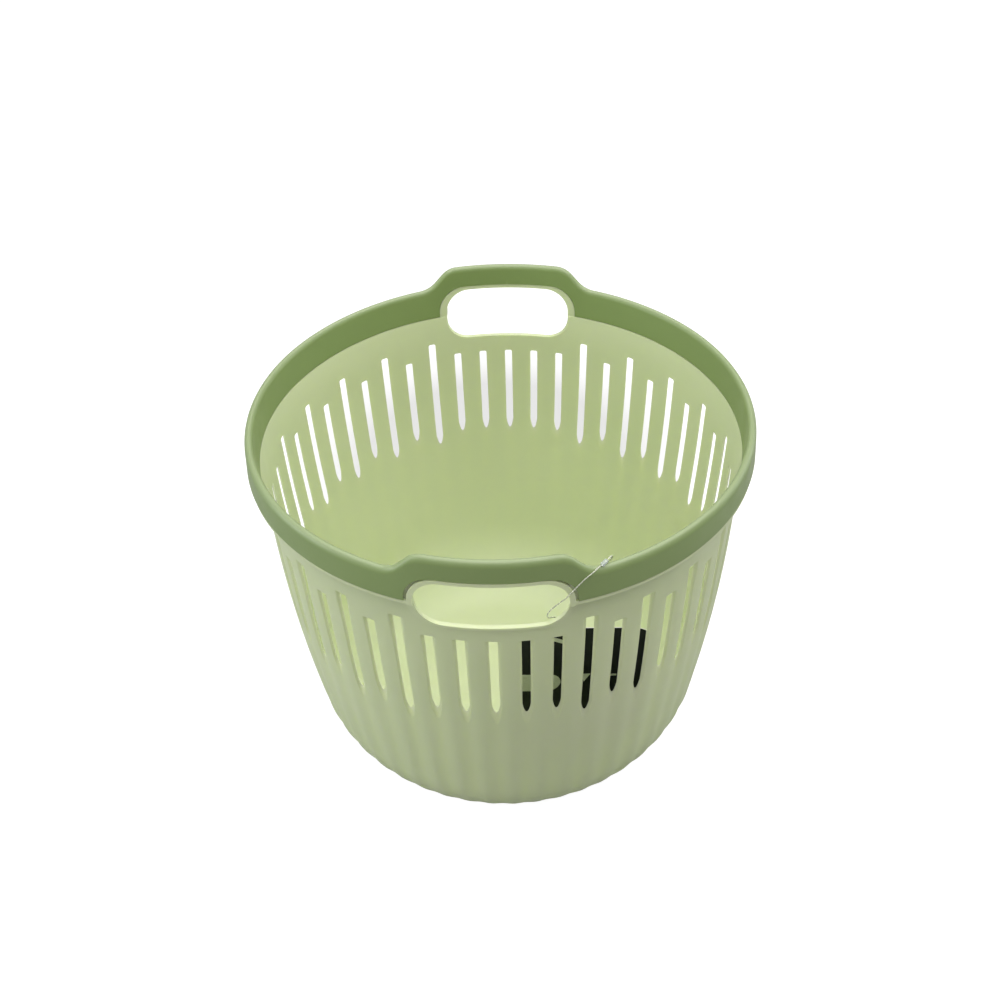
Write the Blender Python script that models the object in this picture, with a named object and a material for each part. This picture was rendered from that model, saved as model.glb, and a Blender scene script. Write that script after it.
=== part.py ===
"""Round slotted storage basket: a moulded tub, a pressed-on rim ring with two raised handles, and a hang tag.

Metres, +Z up. The origin is at the centre of the base's underside. The handles lie on -Y (front) and +Y.
Depths are measured down from the rim's top; arcs are measured round the rim from a handle's middle.
"""
import math

import bmesh
import bpy
from mathutils import Matrix, Vector

# Overall size
RIM_HEIGHT = 0.308
RIM_RADIUS = 0.190
WALL = 0.0022
FLOOR = 0.0025

# Tub wall: outer radius over RIM_RADIUS, as a quadratic in the depth over RIM_RADIUS past WALL_DEPTH_REF
WALL_CURVE = (0.952, -0.0235, -0.0691)
WALL_DEPTH_REF = 0.2
FLARE = 0.0023              # the wall widens by this much up to the flange
FLARE_DEPTH = 0.060
CORNER_HEIGHT = 0.063       # elliptical turn from the wall into the base
CORNER_RUN = 0.049
CORNER_STEPS = 5
LOWER_RING_DEPTH = 0.200    # one more ring of points below the slots

# Rim of the tub: a flange under the ring's skirt, and an upstand inside the ring's channel
STEP_DEPTH = 0.0258
FLANGE_RADIUS = 0.1902
FLANGE_TOP_DEPTH = 0.0231
FLANGE_EDGE_DEPTH = 0.0258
FLANGE_FOOT_DEPTH = 0.0300
UPSTAND_INNER = 0.1863
UPSTAND_OUTER = 0.1881
UPSTAND_DROP = 0.0055       # the upstand's top lies this far below the ring's top

# Slots: SLOTS_PER_HALF on each side of the basket's handle axis, one centred on each handle
SLOTS_PER_HALF = 25
SLOT_WIDTH = 0.0060
SLOT_RADIUS = 0.178
LONG_SLOT = (0.0512, 0.1530)
SHORT_SLOT = (0.0642, 0.1436)
SLOT_MIDDLE = 0.1040
OUTER_TOP_RISE = 0.0023     # a slot's ends slope: outside they lie higher than inside
OUTER_BOTTOM_RISE = 0.0063

# Handle hole and the collar round it
HOLE_HALF_WIDTH = 0.0518
HOLE_TOP_DEPTH = 0.0030
HOLE_BOTTOM_DEPTH = 0.0480
HOLE_CORNER = 0.0190
COLLAR_SIDE = 0.0040
COLLAR_TOP = 0.0027
COLLAR_BOTTOM = 0.0025
COLLAR_CORNER = 0.0220
COLLAR_FRONT_RADIUS = 0.1905
COLLAR_BACK_RADIUS = 0.1830
COLLAR_STEP = (0.0264, 0.0282)  # between these depths the collar's face drops from the flange to the wall
COLLAR_PROUD_BELOW = 0.0014
COLLAR_INSET = 0.0020       # the collar's blank reaches this far into the hole before the hole is cut
OUTLINE_STEPS = 5
CUTTER_REACH = 0.220

# Rim ring: an inverted channel whose top rises into a hump over each handle
HUMP_RISE = 0.0175
HUMP_FLAT = 0.0432
SHOULDER_RADIUS = 0.0180
TOE_RADIUS = 0.0198
HUMP_SLOPE = math.radians(45)
HUMP_STEPS = 3
SKIRT_RADIUS = 0.1910
SKIRT_INNER = 0.1884
SKIRT_DEPTH = 0.0228
BAND_RADIUS = 0.1813
BAND_OUTER = 0.1858
BAND_DEPTH = 0.0255
RING_TOP_THICKNESS = 0.0026
RING_GAP = 0.0010           # between the ring's cut-out and the collar
RING_TOP = ((0.1900, 0.0050), (0.1895, 0.0019), (0.1879, 0.0), (0.1862, 0.0), (0.1844, 0.0014), (0.1836, 0.0046))

# Hang tag: a card on a nylon loop that passes out through the front handle hole and over the rim
TAG_HOLE = Vector((0.0556, -0.1405, 0.2142))
TAG_AZIMUTH = math.radians(10)
TAG_TILT = math.radians(1.5)
TAG_ROLL = math.radians(9)
CARD_LEFT = -0.042
CARD_RIGHT = 0.062
CARD_TOP = 0.006
CARD_BOTTOM = -0.100
CARD_TOP_CORNER = 0.020
CARD_BOTTOM_CORNER = 0.008
CARD_THICKNESS = 0.0008
PUNCH_RADIUS = 0.0025
PUNCH_SIDES = 16
LOOP_DIAMETER = 0.0008
LOOP_SUBDIVISIONS = 2
LOCK_CENTRE = Vector((0.0738, -0.1712, 0.3099))
LOCK_SIZE = (0.0060, 0.0030, 0.0022)
LOCK_TURN = math.radians(54.5)
LOCK_BEVEL = 0.0006

# The loop's route from the lock over the rim, down through the handle hole, through the card and back
LOOP_ROUTE = (
    (0.0719, -0.1739, 0.3099), (0.0709, -0.1753, 0.3106), (0.0699, -0.1769, 0.3109),
    (0.0685, -0.1783, 0.3104), (0.0667, -0.1796, 0.3092), (0.0644, -0.1804, 0.3074),
    (0.0606, -0.1817, 0.3041), (0.0568, -0.1829, 0.3000), (0.0529, -0.1841, 0.2958),
    (0.0491, -0.1848, 0.2910), (0.0450, -0.1832, 0.2852), (0.0408, -0.1809, 0.2786),
    (0.0376, -0.1789, 0.2724), (0.0367, -0.1769, 0.2669), (0.0379, -0.1746, 0.2630),
    (0.0400, -0.1710, 0.2602), (0.0426, -0.1666, 0.2556), (0.0460, -0.1610, 0.2466),
    (0.0496, -0.1556, 0.2364), (0.0530, -0.1510, 0.2264), (0.0553, -0.1476, 0.2190),
    (0.0562, -0.1450, 0.2152), (0.0560, -0.1427, 0.2142), (0.0556, -0.1405, 0.2142),
    (0.0552, -0.1381, 0.2152), (0.0552, -0.1369, 0.2186), (0.0559, -0.1370, 0.2240),
    (0.0585, -0.1396, 0.2380), (0.0625, -0.1442, 0.2550), (0.0670, -0.1496, 0.2720),
    (0.0720, -0.1554, 0.2880), (0.0764, -0.1602, 0.3000), (0.0786, -0.1630, 0.3062),
    (0.0792, -0.1646, 0.3094), (0.0786, -0.1656, 0.3108), (0.0773, -0.1668, 0.3107),
    (0.0757, -0.1685, 0.3099),
)

HANDLES = ((0.0, "front"), (math.pi, "back"))


def clear_scene():
    for obj in list(bpy.data.objects):
        bpy.data.objects.remove(obj, do_unlink=True)


def plastic(name, colour, roughness, transmission=0.0):
    material = bpy.data.materials.new(name)
    material.use_nodes = True
    shader = material.node_tree.nodes["Principled BSDF"]
    shader.inputs["Base Color"].default_value = (*colour, 1.0)
    shader.inputs["Roughness"].default_value = roughness
    shader.inputs["Metallic"].default_value = 0.0
    shader.inputs["Transmission Weight"].default_value = transmission
    return material


def add_object(name, mesh, material=None):
    obj = bpy.data.objects.new(name, mesh)
    bpy.context.scene.collection.objects.link(obj)
    if material:
        mesh.materials.append(material)
    return obj


def finish_mesh(name, bm, sharp_angle=30.0):
    """Turn every face outwards and give the bmesh to a new mesh, smooth except at sharp edges."""
    bmesh.ops.recalc_face_normals(bm, faces=bm.faces)
    mesh = bpy.data.meshes.new(name)
    bm.to_mesh(mesh)
    bm.free()
    mesh.shade_smooth()
    mesh.set_sharp_from_angle(angle=math.radians(sharp_angle))
    return mesh


def hide_guide(obj):
    obj.hide_render = True
    obj.display_type = "WIRE"


def boolean(target, tool, operation):
    modifier = target.modifiers.new(f"{operation} {tool.name}", "BOOLEAN")
    modifier.object = tool
    modifier.operation = operation
    modifier.solver = "EXACT"


def on_rim(radius, angle, height):
    """A point at an angle round the basket, counted from the front handle towards +X."""
    return Vector((radius * math.sin(angle), -radius * math.cos(angle), height))


def hump_rise(arc):
    """Height of the ring's top above the plain rim, at an arc from a handle's middle."""
    distance = abs(arc)
    shoulder_end = HUMP_FLAT + SHOULDER_RADIUS * math.sin(HUMP_SLOPE)
    shoulder_rise = HUMP_RISE - SHOULDER_RADIUS * (1 - math.cos(HUMP_SLOPE))
    toe_start, toe_end = toe_arcs()
    if distance <= HUMP_FLAT:
        return HUMP_RISE
    if distance <= shoulder_end:
        across = distance - HUMP_FLAT
        return HUMP_RISE - SHOULDER_RADIUS + math.sqrt(SHOULDER_RADIUS ** 2 - across ** 2)
    if distance <= toe_start:
        return shoulder_rise - (distance - shoulder_end) * math.tan(HUMP_SLOPE)
    if distance < toe_end:
        return TOE_RADIUS - math.sqrt(TOE_RADIUS ** 2 - (toe_end - distance) ** 2)
    return 0.0


def toe_arcs():
    """Where the hump's slope meets the concave toe, and where the toe meets the plain rim."""
    shoulder_end = HUMP_FLAT + SHOULDER_RADIUS * math.sin(HUMP_SLOPE)
    shoulder_rise = HUMP_RISE - SHOULDER_RADIUS * (1 - math.cos(HUMP_SLOPE))
    toe_rise = TOE_RADIUS * (1 - math.cos(HUMP_SLOPE))
    toe_start = shoulder_end + (shoulder_rise - toe_rise) / math.tan(HUMP_SLOPE)
    return toe_start, toe_start + TOE_RADIUS * math.sin(HUMP_SLOPE)


def rim_rise(angle):
    """The hump's rise at any angle: the two handles face each other."""
    from_handle = math.remainder(angle, math.pi)
    return hump_rise(from_handle * RIM_RADIUS)


def wall_radius(depth):
    """Outer radius of the tub's wall, flaring a little just below the flange."""
    past = depth / RIM_RADIUS - WALL_DEPTH_REF
    radius = RIM_RADIUS * (WALL_CURVE[0] + WALL_CURVE[1] * past + WALL_CURVE[2] * past ** 2)
    if depth < FLARE_DEPTH:
        radius += FLARE * ((FLARE_DEPTH - depth) / (FLARE_DEPTH - STEP_DEPTH)) ** 2
    return radius


def corner_ring(turn, skin, floor):
    """A (radius, depth) on the bottom corner, at a turn from the wall (0) to the base (90 degrees)."""
    start = RIM_HEIGHT - CORNER_HEIGHT
    depth = start + (CORNER_HEIGHT - floor) * math.sin(turn)
    return wall_radius(depth) - skin - CORNER_RUN * (1 - math.cos(turn)), depth


def slot_angles():
    """The slots' middles round the basket, with True for each long slot."""
    pitch = math.pi / SLOTS_PER_HALF
    reach = SLOTS_PER_HALF // 2
    for handle, _ in HANDLES:
        for index in range(-reach, reach + 1):
            is_long = index % 2 == 1 and 3 <= abs(index) < reach
            yield handle + index * pitch, is_long


def tub_angles():
    half = math.asin(SLOT_WIDTH / 2 / SLOT_RADIUS)
    return [middle + side * half for middle, _ in slot_angles() for side in (-1, 1)]


def tub_rings():
    """Rings of the tub's skin from the base's edge up outside, then down inside to the floor's edge.

    Each ring is (radius, depth, rides the hump). The second and third results are the places of the
    outer and inner slot rings, from the bottom up.
    """
    turns = [math.pi / 2 * step / CORNER_STEPS for step in range(CORNER_STEPS + 1)]
    bottoms = (LONG_SLOT[1], SHORT_SLOT[1])
    tops = (SHORT_SLOT[0], LONG_SLOT[0])
    outer_slots = [d - OUTER_BOTTOM_RISE for d in bottoms] + [SLOT_MIDDLE] + [d - OUTER_TOP_RISE for d in tops]
    inner_slots = [*bottoms, SLOT_MIDDLE, *tops]
    rings = [(*corner_ring(turn, 0.0, 0.0), False) for turn in reversed(turns)]
    rings.append((wall_radius(LOWER_RING_DEPTH), LOWER_RING_DEPTH, False))
    outer_places = [len(rings) + step for step in range(len(outer_slots))]
    rings += [(wall_radius(depth), depth, False) for depth in outer_slots]
    rings += [
        (wall_radius(FLANGE_FOOT_DEPTH), FLANGE_FOOT_DEPTH, False),
        (FLANGE_RADIUS, FLANGE_EDGE_DEPTH, False),
        (FLANGE_RADIUS, FLANGE_TOP_DEPTH, False),
        (UPSTAND_OUTER, FLANGE_TOP_DEPTH, False),
        (UPSTAND_OUTER, UPSTAND_DROP, True),
        (UPSTAND_INNER, UPSTAND_DROP, True),
        (UPSTAND_INNER, STEP_DEPTH, False),
        (wall_radius(STEP_DEPTH) - WALL, STEP_DEPTH, False),
    ]
    inner_places = [len(rings) + step for step in reversed(range(len(inner_slots)))]
    rings += [(wall_radius(depth) - WALL, depth, False) for depth in reversed(inner_slots)]
    rings.append((wall_radius(LOWER_RING_DEPTH) - WALL, LOWER_RING_DEPTH, False))
    rings += [(*corner_ring(turn, WALL, FLOOR), False) for turn in turns]
    return rings, outer_places, inner_places


def wall_slot(bm, outer, inner, left, right):
    """Close a slot between the wall's two skins: its two sides and its two ends."""
    for column in (left, right):
        for low in range(len(outer) - 1):
            bm.faces.new((outer[low][column], outer[low + 1][column],
                          inner[low + 1][column], inner[low][column]))
    for end in (0, -1):
        bm.faces.new((outer[end][left], outer[end][right], inner[end][right], inner[end][left]))


def tub_mesh():
    """The tub's closed skin, turned ring by ring, with every slot left open and walled."""
    rings, outer_places, inner_places = tub_rings()
    angles = tub_angles()
    bm = bmesh.new()
    grid = [[bm.verts.new(on_rim(radius, angle, RIM_HEIGHT - depth + (rim_rise(angle) if rides else 0.0)))
             for angle in angles] for radius, depth, rides in rings]
    open_cells = set()
    for slot, (_, is_long) in enumerate(slot_angles()):
        levels = slice(0, 5) if is_long else slice(1, 4)
        outer = outer_places[levels]
        inner = inner_places[levels]
        open_cells.update((low, 2 * slot) for low in outer[:-1])
        open_cells.update((low, 2 * slot) for low in inner[1:])
        wall_slot(bm, [grid[place] for place in outer], [grid[place] for place in inner], 2 * slot, 2 * slot + 1)
    columns = len(angles)
    for low in range(len(rings) - 1):
        for column in range(columns):
            if (low, column) not in open_cells:
                after = (column + 1) % columns
                bm.faces.new((grid[low][column], grid[low][after], grid[low + 1][after], grid[low + 1][column]))
    for edge_ring, height in ((grid[0], 0.0), (grid[-1], FLOOR)):
        centre = bm.verts.new((0.0, 0.0, height))
        for column in range(columns):
            bm.faces.new((centre, edge_ring[column], edge_ring[(column + 1) % columns]))
    return finish_mesh("basket_body", bm)


def rounded_outline(half_width, low, high, corner, side_heights=()):
    """A rounded rectangle in (x, z): arcs at its four corners, and extra points up its straight sides."""
    corners = ((half_width, high, 0), (-half_width, high, 90), (-half_width, low, 180), (half_width, low, 270))
    points = []
    for x, z, start in corners:
        centre_x = x - math.copysign(corner, x)
        centre_z = z - corner if z == high else z + corner
        for step in range(OUTLINE_STEPS + 1):
            turn = math.radians(start + 90 * step / OUTLINE_STEPS)
            points.append((centre_x + corner * math.cos(turn), centre_z + corner * math.sin(turn)))
        if start == 90:
            points += [(-half_width, height) for height in sorted(side_heights, reverse=True)]
        if start == 270:
            points += [(half_width, height) for height in sorted(side_heights)]
    return points


def hole_outline(grow_side=0.0, grow_top=0.0, grow_bottom=0.0, corner=HOLE_CORNER, side_heights=()):
    return rounded_outline(HOLE_HALF_WIDTH + grow_side,
                           RIM_HEIGHT - HOLE_BOTTOM_DEPTH - grow_bottom,
                           RIM_HEIGHT - HOLE_TOP_DEPTH + grow_top, corner, side_heights)


def collar_front(depth):
    """Radius of the collar's outer face: level with the ring, and just proud of the wall under the flange."""
    start, end = COLLAR_STEP
    share = min(max((depth - start) / (end - start), 0.0), 1.0)
    low_radius = wall_radius(depth) + COLLAR_PROUD_BELOW
    return COLLAR_FRONT_RADIUS + (low_radius - COLLAR_FRONT_RADIUS) * share


def collar_back(depth):
    return min(COLLAR_BACK_RADIUS, wall_radius(depth) - WALL / 2)


def collar_mesh(name):
    """The blank of a handle's collar: a thick loop round the hole, its faces curved with the wall."""
    bm = bmesh.new()
    steps = [RIM_HEIGHT - depth for depth in COLLAR_STEP]
    outlines = (hole_outline(COLLAR_SIDE, COLLAR_TOP, COLLAR_BOTTOM, COLLAR_CORNER, steps),
                hole_outline(-COLLAR_INSET, -COLLAR_INSET, -COLLAR_INSET, HOLE_CORNER - COLLAR_INSET, steps))
    loops = []
    for outline in outlines:
        for surface in (collar_front, collar_back):
            loops.append([bm.verts.new((x, -math.sqrt(surface(RIM_HEIGHT - z) ** 2 - x * x), z))
                          for x, z in outline])
    outer_front, outer_back, inner_front, inner_back = loops
    count = len(outer_front)
    for one, other in ((outer_front, outer_back), (outer_back, inner_back),
                       (inner_back, inner_front), (inner_front, outer_front)):
        for here in range(count):
            after = (here + 1) % count
            bm.faces.new((one[here], one[after], other[after], other[here]))
    return finish_mesh(name, bm)


def prism_mesh(name, outline):
    """A cutter along Y that passes right through both walls."""
    bm = bmesh.new()
    ends = [[bm.verts.new((x, y, z)) for x, z in outline] for y in (-CUTTER_REACH, CUTTER_REACH)]
    count = len(outline)
    for here in range(count):
        after = (here + 1) % count
        bm.faces.new((ends[0][here], ends[0][after], ends[1][after], ends[1][here]))
    for end in ends:
        bm.faces.new(end)
    return finish_mesh(name, bm)


def make_tub():
    tub = add_object("basket_body", tub_mesh(), plastic("body_green", (0.47, 0.52, 0.33), 0.38))
    for turn, side in HANDLES:
        collar = add_object(f"collar_blank_{side}", collar_mesh(f"collar_blank_{side}"))
        collar.rotation_euler.z = turn
        hide_guide(collar)
        boolean(tub, collar, "UNION")
    hole = add_object("hole_cutter", prism_mesh("hole_cutter", hole_outline()))
    hide_guide(hole)
    boolean(tub, hole, "DIFFERENCE")
    return tub


def ring_angles():
    """The tub's own angles, with the points that the humps' outline needs among them."""
    toe_start, toe_end = toe_arcs()
    arcs = []
    for step in range(HUMP_STEPS + 1):
        turn = HUMP_SLOPE * step / HUMP_STEPS
        arcs.append(HUMP_FLAT + SHOULDER_RADIUS * math.sin(turn))
        arcs.append(toe_end - TOE_RADIUS * math.sin(turn))
    hump_angles = [handle + side * arc / RIM_RADIUS for handle, _ in HANDLES for side in (-1, 1) for arc in arcs]
    spacing = math.radians(1.2)
    plain = [angle for angle in tub_angles()
             if min(abs(math.remainder(angle - other, math.tau)) for other in hump_angles) > spacing]
    return sorted((angle % math.tau for angle in plain + hump_angles))


def ring_section(rise):
    """The channel's section as (radius, height above the floor), from the skirt's outer edge round."""
    top = RIM_HEIGHT + rise
    return [
        (SKIRT_RADIUS, RIM_HEIGHT - SKIRT_DEPTH),
        *((radius, top - drop) for radius, drop in RING_TOP),
        (BAND_RADIUS, RIM_HEIGHT - BAND_DEPTH),
        (BAND_OUTER, RIM_HEIGHT - BAND_DEPTH),
        (BAND_OUTER, top - RING_TOP_THICKNESS),
        (SKIRT_INNER, top - RING_TOP_THICKNESS),
        (SKIRT_INNER, RIM_HEIGHT - SKIRT_DEPTH),
    ]


def ring_mesh():
    bm = bmesh.new()
    sections = [[bm.verts.new(on_rim(radius, angle, height)) for radius, height in ring_section(rim_rise(angle))]
                for angle in ring_angles()]
    for here, section in enumerate(sections):
        after = sections[(here + 1) % len(sections)]
        for point in range(len(section)):
            beyond = (point + 1) % len(section)
            bm.faces.new((section[point], after[point], after[beyond], section[beyond]))
    return finish_mesh("rim_ring", bm)


def make_ring():
    ring = add_object("rim_ring", ring_mesh(), plastic("rim_green", (0.16, 0.21, 0.10), 0.42))
    outline = hole_outline(COLLAR_SIDE + RING_GAP, COLLAR_TOP + RING_GAP, COLLAR_BOTTOM,
                           COLLAR_CORNER + RING_GAP)
    cutter = add_object("ring_cutter", prism_mesh("ring_cutter", outline))
    hide_guide(cutter)
    boolean(ring, cutter, "DIFFERENCE")
    return ring


def card_outline():
    """The card's outline in its own (x, z), anticlockwise from the right side's top corner."""
    corners = ((CARD_RIGHT, CARD_TOP, CARD_TOP_CORNER, 0), (CARD_LEFT, CARD_TOP, CARD_TOP_CORNER, 90),
               (CARD_LEFT, CARD_BOTTOM, CARD_BOTTOM_CORNER, 180),
               (CARD_RIGHT, CARD_BOTTOM, CARD_BOTTOM_CORNER, 270))
    points = []
    for x, z, radius, start in corners:
        centre = (x - math.copysign(radius, x), z - math.copysign(radius, z))
        for step in range(OUTLINE_STEPS + 1):
            turn = math.radians(start + 90 * step / OUTLINE_STEPS)
            points.append((centre[0] + radius * math.cos(turn), centre[1] + radius * math.sin(turn)))
    return points


def make_card():
    """The card hangs from its punched hole, which is its origin and lies on the swing's axis."""
    bm = bmesh.new()
    outline = [bm.verts.new((x, -CARD_THICKNESS / 2, z)) for x, z in card_outline()]
    face = bm.faces.new(outline)
    extruded = bmesh.ops.extrude_face_region(bm, geom=[face])["geom"]
    moved = [item for item in extruded if isinstance(item, bmesh.types.BMVert)]
    bmesh.ops.translate(bm, verts=moved, vec=(0.0, CARD_THICKNESS, 0.0))
    card = add_object("tag_card", finish_mesh("tag_card", bm), plastic("card_dark", (0.012, 0.016, 0.015), 0.45))
    card.matrix_world = (Matrix.Translation(TAG_HOLE) @ Matrix.Rotation(TAG_AZIMUTH, 4, "Z")
                         @ Matrix.Rotation(TAG_TILT, 4, "X") @ Matrix.Rotation(TAG_ROLL, 4, "Y"))
    punch_bm = bmesh.new()
    bmesh.ops.create_cone(punch_bm, cap_ends=True, segments=PUNCH_SIDES, radius1=PUNCH_RADIUS,
                          radius2=PUNCH_RADIUS, depth=0.01, matrix=Matrix.Rotation(math.pi / 2, 4, "X"))
    punch = add_object("card_punch", finish_mesh("card_punch", punch_bm))
    punch.matrix_world = card.matrix_world
    hide_guide(punch)
    boolean(card, punch, "DIFFERENCE")
    return card


def smooth_route(points, subdivisions):
    """Points along the Catmull-Rom curve through a route."""
    route = [Vector(point) for point in points]
    padded = [route[0] * 2 - route[1], *route, route[-1] * 2 - route[-2]]
    result = []
    for p0, p1, p2, p3 in zip(padded, padded[1:], padded[2:], padded[3:]):
        for step in range(subdivisions):
            t = step / subdivisions
            result.append(0.5 * (2 * p1 + (p2 - p0) * t + (2 * p0 - 5 * p1 + 4 * p2 - p3) * t ** 2
                                 + (3 * p1 - 3 * p2 + p3 - p0) * t ** 3))
    result.append(route[-1])
    return result


def make_loop():
    curve = bpy.data.curves.new("tag_loop", "CURVE")
    curve.dimensions = "3D"
    curve.bevel_depth = LOOP_DIAMETER / 2
    curve.bevel_resolution = 2
    curve.use_fill_caps = True
    points = smooth_route(LOOP_ROUTE, LOOP_SUBDIVISIONS)
    spline = curve.splines.new("POLY")
    spline.points.add(len(points) - 1)
    for place, point in zip(spline.points, points):
        place.co = (*point, 1.0)
    curve.materials.append(plastic("nylon_clear", (0.85, 0.87, 0.86), 0.15, transmission=0.6))
    loop = bpy.data.objects.new("tag_loop", curve)
    bpy.context.scene.collection.objects.link(loop)
    return loop


def make_lock():
    """The small block on top of the rim that takes both ends of the loop."""
    bm = bmesh.new()
    bmesh.ops.create_cube(bm, size=1.0, matrix=Matrix.Diagonal((*LOCK_SIZE, 1.0)))
    lock = add_object("tag_lock", finish_mesh("tag_lock", bm), plastic("lock_clear", (0.72, 0.74, 0.76), 0.25))
    lock.location = LOCK_CENTRE
    lock.rotation_euler.z = LOCK_TURN
    bevel = lock.modifiers.new("rounded edges", "BEVEL")
    bevel.width = LOCK_BEVEL
    bevel.segments = 2
    return lock


def main():
    clear_scene()
    make_tub()
    make_ring()
    make_card()
    make_loop()
    make_lock()


main()
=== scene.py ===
"""Looks for the round slotted storage basket: fine mouldings, plastics, hang tag, floor, lights and camera.

Metres, +Z up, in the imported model's frame. Depths are measured down from the rim's top, and angles
round the basket from its front handle (-Y) towards +X.
"""
import math

import bmesh
import bpy
from mathutils import Matrix, Quaternion, Vector


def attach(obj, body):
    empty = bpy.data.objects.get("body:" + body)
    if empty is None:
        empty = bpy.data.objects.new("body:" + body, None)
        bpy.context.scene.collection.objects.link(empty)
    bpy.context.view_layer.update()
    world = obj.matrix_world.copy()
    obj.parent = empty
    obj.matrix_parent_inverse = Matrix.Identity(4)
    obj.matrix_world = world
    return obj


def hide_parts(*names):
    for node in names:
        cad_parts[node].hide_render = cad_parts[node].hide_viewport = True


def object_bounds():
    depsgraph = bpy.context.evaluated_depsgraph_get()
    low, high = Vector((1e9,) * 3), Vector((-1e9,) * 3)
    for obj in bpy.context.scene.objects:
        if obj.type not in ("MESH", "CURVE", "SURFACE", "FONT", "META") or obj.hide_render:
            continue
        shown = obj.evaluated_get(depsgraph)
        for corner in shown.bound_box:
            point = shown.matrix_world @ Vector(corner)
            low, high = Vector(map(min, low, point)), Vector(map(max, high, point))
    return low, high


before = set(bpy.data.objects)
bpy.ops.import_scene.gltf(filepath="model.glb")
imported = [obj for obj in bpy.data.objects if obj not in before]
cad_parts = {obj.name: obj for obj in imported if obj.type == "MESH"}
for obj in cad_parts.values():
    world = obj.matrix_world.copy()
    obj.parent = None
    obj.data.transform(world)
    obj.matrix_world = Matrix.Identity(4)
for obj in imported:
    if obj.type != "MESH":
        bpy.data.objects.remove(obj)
cad_low, cad_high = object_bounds()

# Camera
CAMERA_LOCATION = Vector((0.0441, -0.8232, 0.8998))
CAMERA_AIM = Vector((-0.0020, 0.0016, 0.2198))
CAMERA_ROLL = math.radians(-1.958)
CAMERA_LENS = 48.8

# Studio. The world and the floor look white to the camera, and light the basket more softly than that.
WORLD_STRENGTH = 0.16
STUDIO_FLOOR_SIZE = 4.0
STUDIO_FLOOR_DROP = 0.0002              # the floor lies this far below the base
FLOOR_TONE = 0.40                       # the floor's tone for the light it gives back
FLOOR_GLOW = 0.95                       # what the camera sees is this glow and a matt tone together
FLOOR_SEEN_TONE = 0.22
FLOOR_SHADE = 0.50                      # the share of the glow that a soft shade behind the basket takes off
FLOOR_SHADE_CENTRE = Vector((-0.026, 0.345, 0.0))
FLOOR_SHADE_RADIUS = 0.25
LIGHT_AIM = Vector((0, 0, 0.2))
# Each light's name, place, size, watts and tint
LIGHTS = (("top_box", (0.10, -0.10, 1.5), 2.3, 54, (1.0, 0.985, 0.95)),
          ("left_box", (-1.5, -0.3, 0.5), 0.9, 10, (0.94, 1.0, 0.99)),
          ("right_box", (1.5, 0.6, 0.5), 0.9, 6, (0.94, 1.0, 0.99)))

# Tub
HUMP_RISE = 0.0175
RIM_HEIGHT = cad_high.z - HUMP_RISE
RIM_RADIUS = 0.190
WALL = 0.0022
FLOOR = 0.0025
# The wall's outer radius over RIM_RADIUS, as a quadratic in the depth over RIM_RADIUS past WALL_DEPTH_REF
WALL_CURVE = (0.952, -0.0235, -0.0691)
WALL_DEPTH_REF = 0.2
FLARE = 0.0023                          # the wall widens by this much up to the flange
FLARE_DEPTH = 0.060
CORNER_HEIGHT = 0.063                   # the turn from the wall into the base
CORNER_RUN = 0.049
CORNER_STEPS = 14
WALL_ROWS = 38
INNER_ROWS = 34
STAVE_COLUMNS = 10                      # columns of faces in one slot's share of the wall
WELD_DISTANCE = 2e-5                    # points of neighbouring staves closer than this become one
ON_SIDE = 1e-5                          # a point this close to a stave's side lies on it

RIPPLE_DEPTH = 0.0009                   # shallow flutes run down the outside from every slot
RIPPLE_START = 0.052
RIPPLE_FULL = 0.085

# Sections as (radius, depth): the flange under the ring's skirt, the upstand in its channel, the ledge inside
FLANGE_LIP = ((0.18300, 0.0298), (0.18335, 0.0288), (0.18440, 0.0279), (0.18620, 0.0273), (0.18840, 0.0269),
              (0.18965, 0.0265), (0.19005, 0.0260), (0.19018, 0.0252), (0.19010, 0.0240), (0.18970, 0.0232))
UPSTAND = ((0.1881, 0.0231), (0.1881, 0.0055), (0.1863, 0.0055), (0.1863, 0.0258))
LEDGE_LIP = ((0.18170, 0.0258), (0.18138, 0.02595), (0.18124, 0.0264))
UPSTAND_RIDES = 0.010                   # what lies above this depth rises with the humps

# Sections as (radius, height): the recess under the base, and the floor
BASE_EYE = 0.010                        # the moulding gate's disc in the middle of the base
BASE_RELIEF = ((BASE_EYE, 0.0009), (0.0400, 0.0009), (0.0700, 0.0009), (0.0925, 0.0009), (0.0938, 0.0006),
               (0.0946, 0.0002), (0.0956, 0.0))
FLOOR_RELIEF = ((0.0830, 0.0000), (0.0815, 0.0003), (0.0800, 0.0004), (0.0500, 0.0004), (0.0250, 0.0004),
                (BASE_EYE, 0.0004))

# Slots
SLOTS_PER_HALF = 25
PITCH = math.pi / SLOTS_PER_HALF
SLOT_HALF_WIDTH = 0.0030
SLOT_TOPS = {True: 0.0497, False: 0.0627}      # by whether the slot is a long one
SLOT_BOTTOMS = {True: 0.1515, False: 0.1420}
SLOT_TIP_ROUND = 0.0014
SLOT_TIP_STEPS = 4
CHANNEL_CURVE = 0.0055                  # radius of the channel's floor, which tapers the slot's lower tip
CHANNEL_FLOOR_STEPS = 5
# Each side of a slot: how far out to the side, and what share of the way up through the wall
CHANNEL_BANKS = ((0.0, 0.0), (0.0014, 0.65), (0.0030, 1.0))
CHANNEL_BANK_LEAST = 0.1                # the banks keep this share of their width where the channel runs out
CHANNEL_RUN_OUT = 0.030                 # the cutter goes on this far below the slot
CHANNEL_LEVELS = 18
CHANNEL_REACH = 0.210                   # and out to this radius
HAIR = 0.0001                           # keeps two surfaces just apart

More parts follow.
